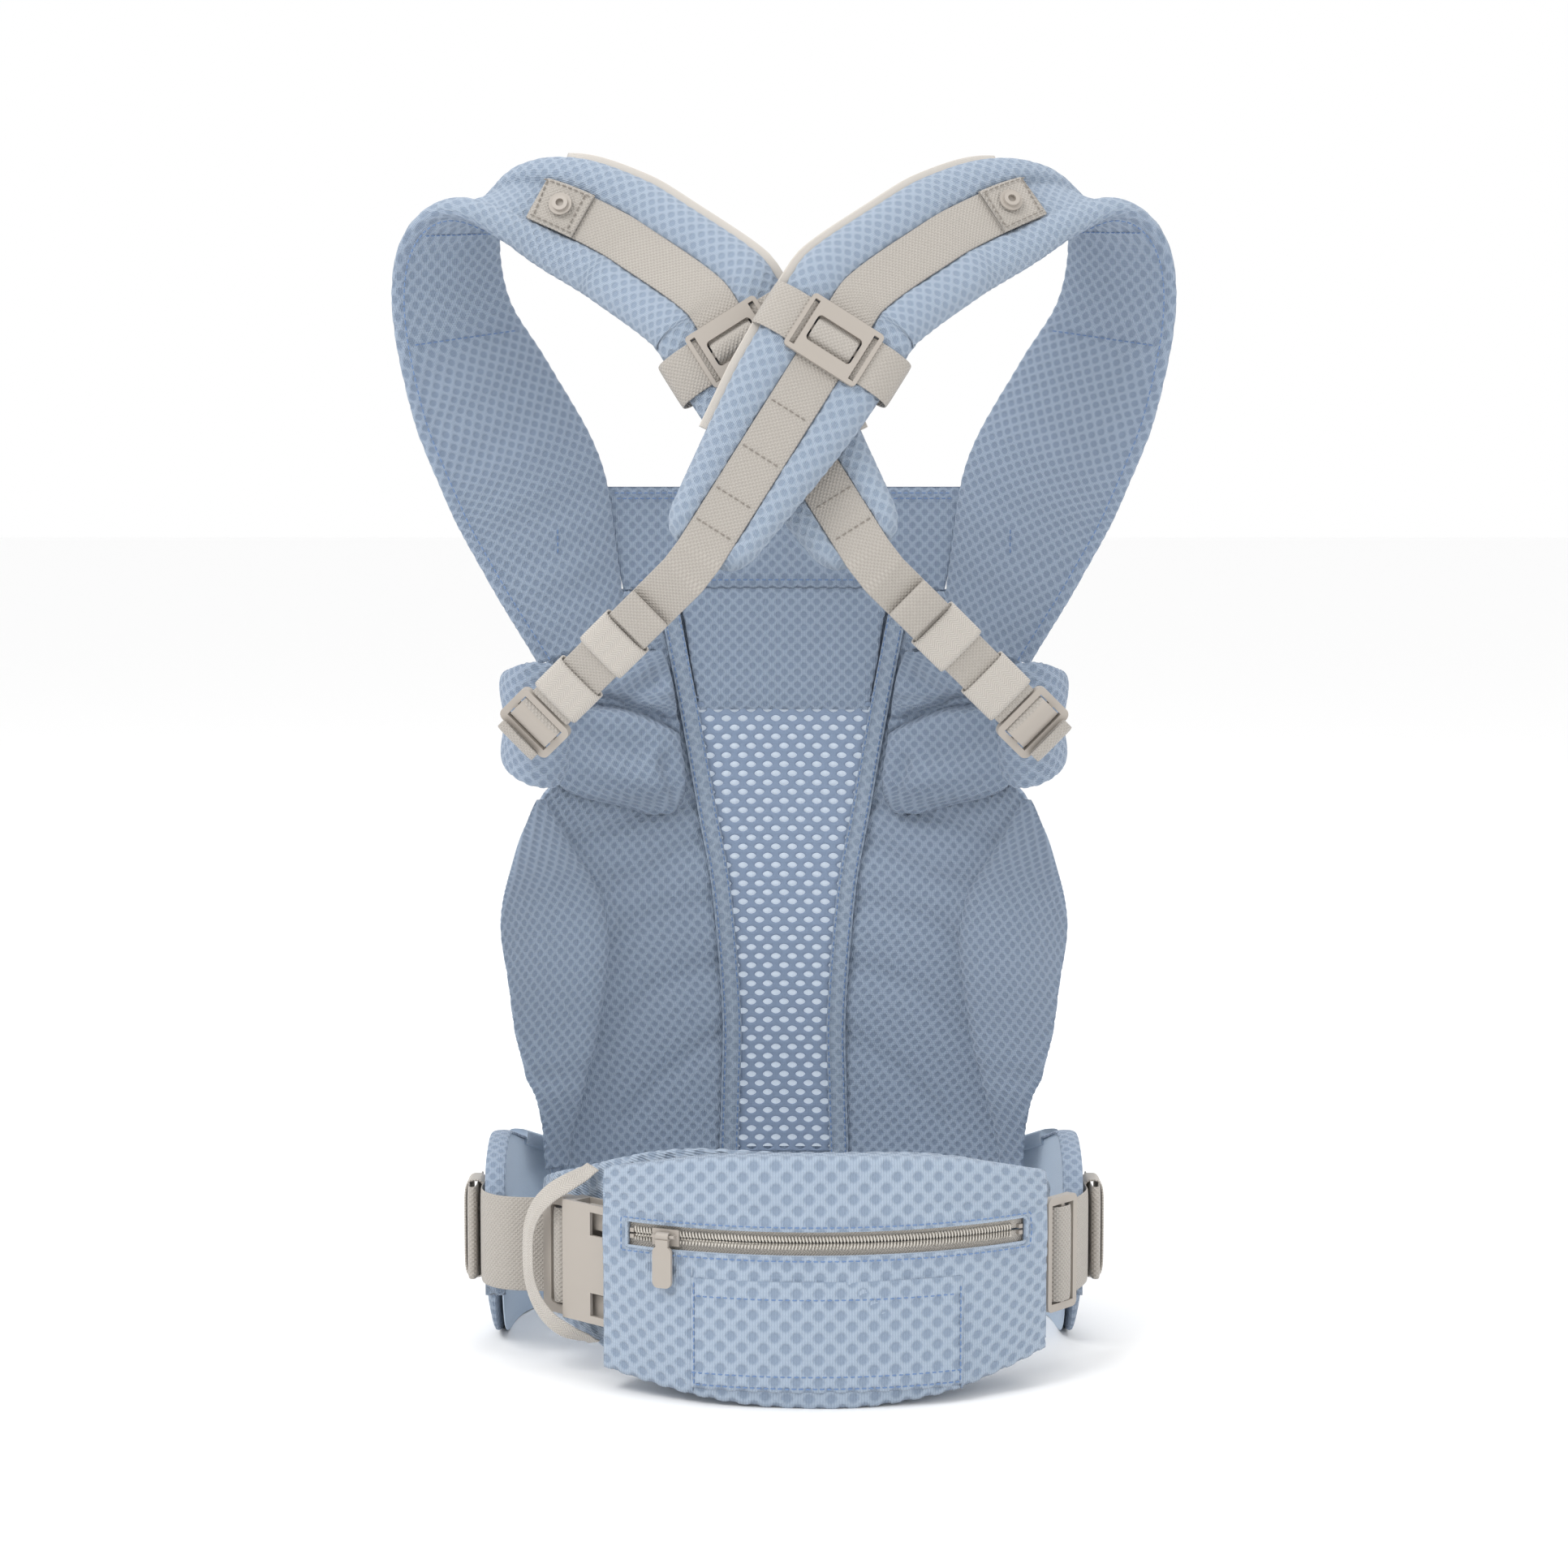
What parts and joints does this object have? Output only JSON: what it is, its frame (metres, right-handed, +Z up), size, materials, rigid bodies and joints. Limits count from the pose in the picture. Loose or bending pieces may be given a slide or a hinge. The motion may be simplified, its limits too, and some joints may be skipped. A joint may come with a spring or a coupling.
{
  "type": "soft baby carrier",
  "caption": "Soft structured baby carrier with a curved mesh seat panel, crossed padded shoulder straps, a padded waist belt with a side-release buckle and a zipped pouch.",
  "frame": {"origin": "bottom centre of the bounding box, on the surface the carrier stands on", "axes": "+Z up, +Y away from the wearer (the outside of the seat panel), +X to the right seen from the wearer side"},
  "size_m": [0.4172, 0.2652, 0.636],
  "materials": {
    "mesh_fabric": "light blue knitted spacer mesh",
    "smooth_lining": "smooth light blue lining",
    "webbing": "warm grey woven webbing and elastic",
    "grey_plastic": "satin warm grey moulded acetal",
    "foam": "open-cell foam sheet"
  },
  "bodies": {
    "waist": {"waistband_shell": "mesh_fabric", "waistband_foam": "foam", "waistband_lining": "smooth_lining", "lumbar_cover": "mesh_fabric", "lumbar_foam": "foam", "pouch_panel": "mesh_fabric", "pouch_lining": "smooth_lining", "pouch_pocket": "mesh_fabric", "zip_tape": "webbing", "zip_coils": "grey_plastic", "zip_stops": "grey_plastic", "buckle_plug": "grey_plastic", "waist_webbing_centre": "webbing", "waist_webbing_wings": "webbing", "waist_adjuster": "grey_plastic", "waist_keepers": "webbing", "waist_tails": "webbing", "safety_loop": "webbing"},
    "buckle_socket": {"buckle_socket": "grey_plastic", "waist_webbing_left": "webbing"},
    "buckle_arm_upper": {"buckle_arm_upper": "grey_plastic"},
    "buckle_arm_lower": {"buckle_arm_lower": "grey_plastic"},
    "zip_slider": {"zip_slider": "grey_plastic"},
    "zip_pull": {"zip_pull": "grey_plastic"},
    "panel": {"panel_bindings": "mesh_fabric", "seat_panel_left": "mesh_fabric", "seat_panel_right": "mesh_fabric", "leg_pad_left": "mesh_fabric", "leg_pad_right": "mesh_fabric", "side_wing_left": "mesh_fabric", "side_wing_right": "mesh_fabric", "wing_cuff_left": "smooth_lining", "wing_cuff_right": "smooth_lining", "mesh_window": "mesh_fabric", "head_rest": "mesh_fabric", "outer_panel": "mesh_fabric", "strap_cover_left": "mesh_fabric", "strap_cover_right": "mesh_fabric", "strap_foam": "foam", "strap_piping": "webbing", "strap_flaps": "webbing", "snap_sockets": "grey_plastic", "lock_anchors": "webbing", "strap_webbing_left": "webbing", "strap_webbing_right": "webbing", "strap_tail_left": "webbing", "strap_tail_right": "webbing"},
    "head_support": {"head_support": "mesh_fabric"},
    "slider_left": {"slider_frame_left": "grey_plastic", "slider_band_left": "webbing"},
    "keeper_upper_left": {"keeper_upper_left": "webbing"},
    "keeper_lower_left": {"keeper_lower_left": "webbing"},
    "ladder_lock_left": {"ladder_lock_left": "grey_plastic"},
    "slider_right": {"slider_frame_right": "grey_plastic", "slider_band_right": "webbing"},
    "keeper_upper_right": {"keeper_upper_right": "webbing"},
    "keeper_lower_right": {"keeper_lower_right": "webbing"},
    "ladder_lock_right": {"ladder_lock_right": "grey_plastic"}
  },
  "joints": [
    {"name": "body_fold", "type": "hinge", "parent": "waist", "child": "panel", "pos_m": [0, 0.12265, 0.0885], "axis": [1, 0, 0], "range_deg": [-90, 0]},
    {"name": "head_support_fold", "type": "hinge", "parent": "panel", "child": "head_support", "pos_m": [0, 0.12115, 0.4015], "axis": [1, 0, 0], "range_deg": [-150, 0]},
    {"name": "zip_travel", "type": "hinge", "parent": "waist", "child": "zip_slider", "pos_m": [0.015, 0.05065, 0.084], "axis": [0, 0, 1], "range_deg": [-3, 55]},
    {"name": "zip_pull_swing", "type": "hinge", "parent": "zip_slider", "child": "zip_pull", "pos_m": [-0.06053, -0.119, 0.085], "axis": [-0.9135, 0.4067, 0], "range_deg": [0, 150]},
    {"name": "buckle_release", "type": "slide", "parent": "waist", "child": "buckle_socket", "axis": [-0.7193, 0.6947, 0], "range_m": [0, 0.03]},
    {"name": "arm_upper_press", "type": "hinge", "parent": "waist", "child": "buckle_arm_upper", "pos_m": [-0.07977, -0.09068, 0.08125], "axis": [-0.6947, -0.7193, 0], "range_deg": [0, 5], "stiffness_Nm_per_rad": 0.4},
    {"name": "arm_lower_press", "type": "hinge", "parent": "waist", "child": "buckle_arm_lower", "pos_m": [-0.07977, -0.09068, 0.04275], "axis": [0.6947, 0.7193, 0], "range_deg": [0, 5], "stiffness_Nm_per_rad": 0.4},
    {"name": "slider_right_travel", "type": "slide", "parent": "panel", "child": "slider_right", "axis": [-0.522, -0.2023, -0.8286], "range_m": [-0.006, 0.022]},
    {"name": "keeper_upper_right_travel", "type": "slide", "parent": "panel", "child": "keeper_upper_right", "axis": [-0.6246, 0.479, -0.6169], "range_m": [-0.0025, 0.008]},
    {"name": "keeper_lower_right_travel", "type": "slide", "parent": "panel", "child": "keeper_lower_right", "axis": [-0.6246, 0.479, -0.6169], "range_m": [-0.0085, 0.002]},
    {"name": "lock_right_tilt", "type": "hinge", "parent": "panel", "child": "ladder_lock_right", "pos_m": [-0.13441, -0.03603, 0.33167], "axis": [0.7028, 0.0002, -0.7114], "range_deg": [0, 20]},
    {"name": "slider_left_travel", "type": "slide", "parent": "panel", "child": "slider_left", "axis": [0.522, -0.2023, -0.8286], "range_m": [-0.006, 0.016]},
    {"name": "keeper_upper_left_travel", "type": "slide", "parent": "panel", "child": "keeper_upper_left", "axis": [0.6707, 0.3335, -0.6625], "range_m": [-0.0025, 0.008]},
    {"name": "keeper_lower_left_travel", "type": "slide", "parent": "panel", "child": "keeper_lower_left", "axis": [0.6707, 0.3335, -0.6625], "range_m": [-0.0085, 0.002]},
    {"name": "lock_left_tilt", "type": "hinge", "parent": "panel", "child": "ladder_lock_left", "pos_m": [0.1347, -0.0375, 0.33138], "axis": [0.7028, -0.0002, 0.7114], "range_deg": [0, 20]}
  ],
  "couplings": [
    {"joint": "arm_lower_press", "follows": "arm_upper_press", "ratio": 1}
  ]
}
